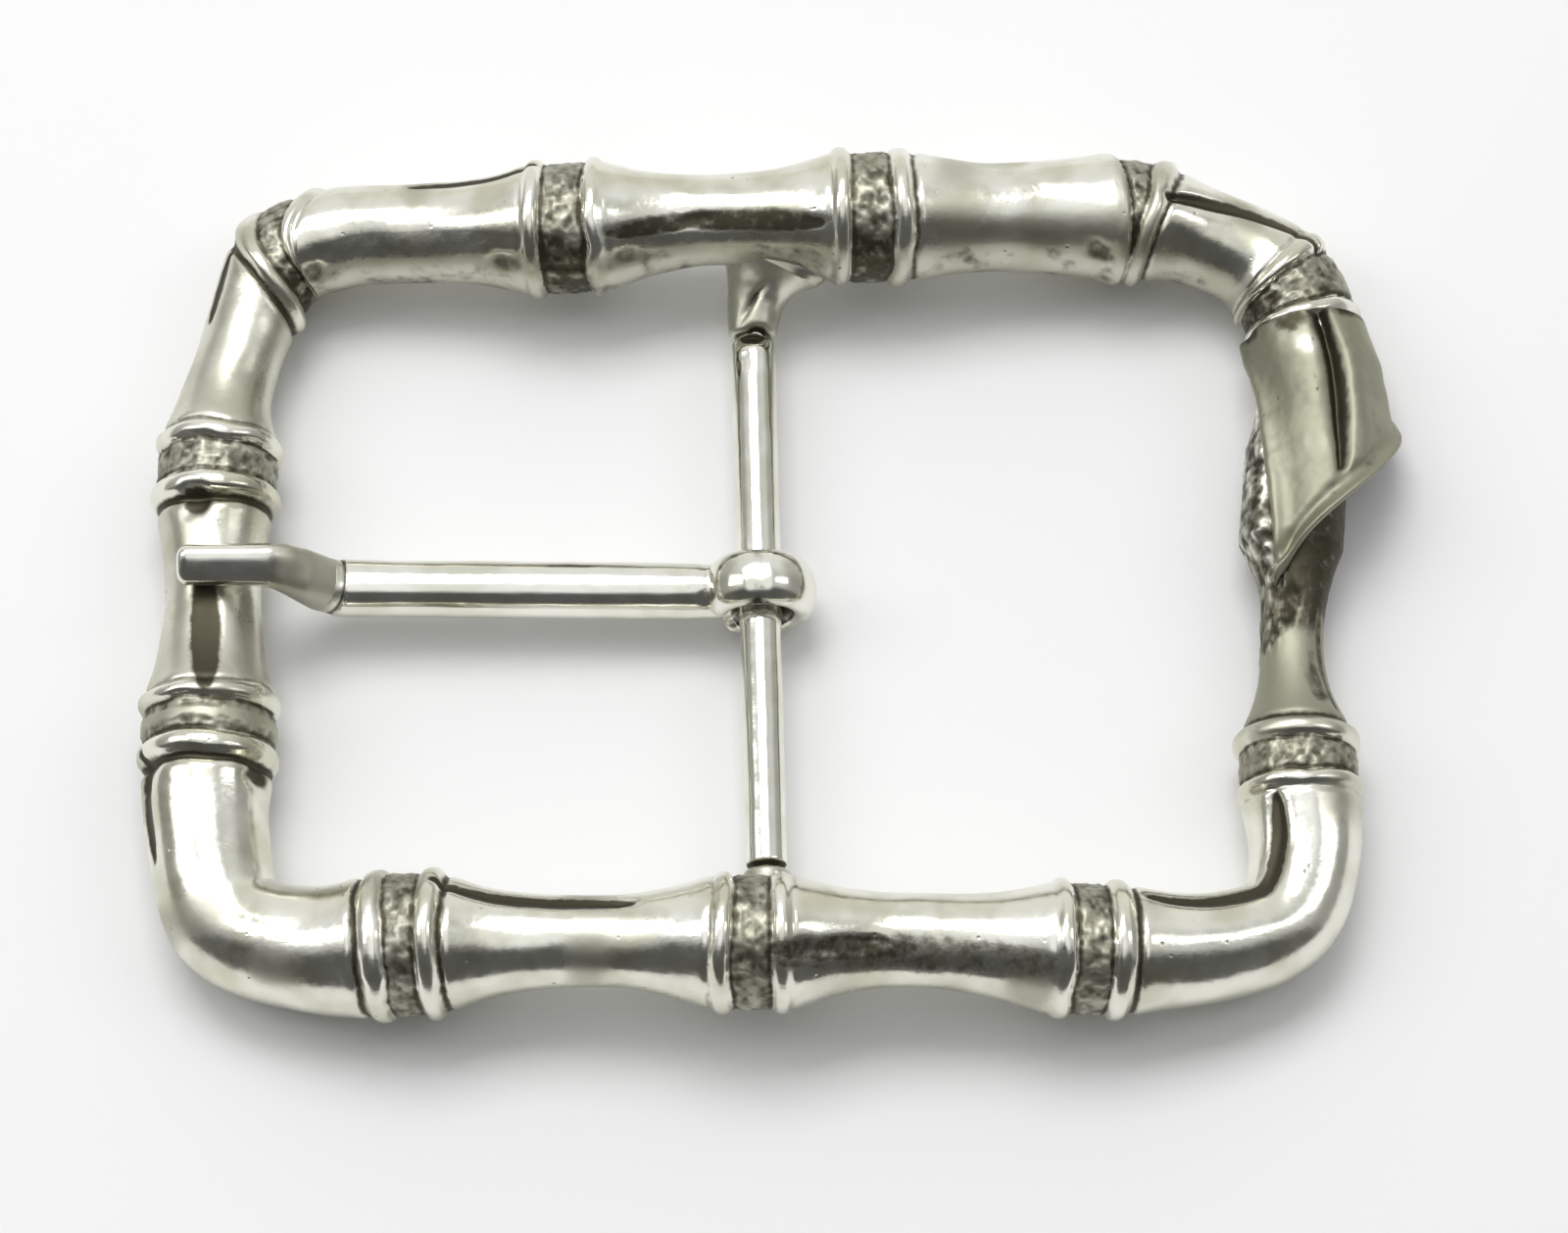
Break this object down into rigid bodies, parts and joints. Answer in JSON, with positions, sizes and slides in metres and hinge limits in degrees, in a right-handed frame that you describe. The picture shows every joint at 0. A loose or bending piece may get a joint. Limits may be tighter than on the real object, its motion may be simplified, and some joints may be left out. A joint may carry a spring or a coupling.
{
  "type": "belt buckle",
  "caption": "Cast belt buckle in the form of a bamboo cane ring, with a centre bar and a swinging prong.",
  "frame": {"origin": "centre of the bounding box at its lowest point, on the table that the buckle lies on face up", "axes": "+X along the belt towards the leaf sheath, +Y across the belt, +Z out of the face of the buckle"},
  "size_m": [0.087, 0.0638, 0.0122],
  "materials": {
    "cast_silver": "polished, antiqued dark in the recesses",
    "drawn_silver": "polished"
  },
  "bodies": {
    "frame": {"frame_casting": "cast_silver", "centre_bar": "drawn_silver"},
    "prong": {"prong": "drawn_silver"}
  },
  "joints": [
    {"name": "prong_hinge", "type": "hinge", "parent": "frame", "child": "prong", "pos_m": [-0.00109, -0.0005, 0.004], "axis": [-0.026, 0.9997, 0], "range_deg": [0, 163]}
  ]
}
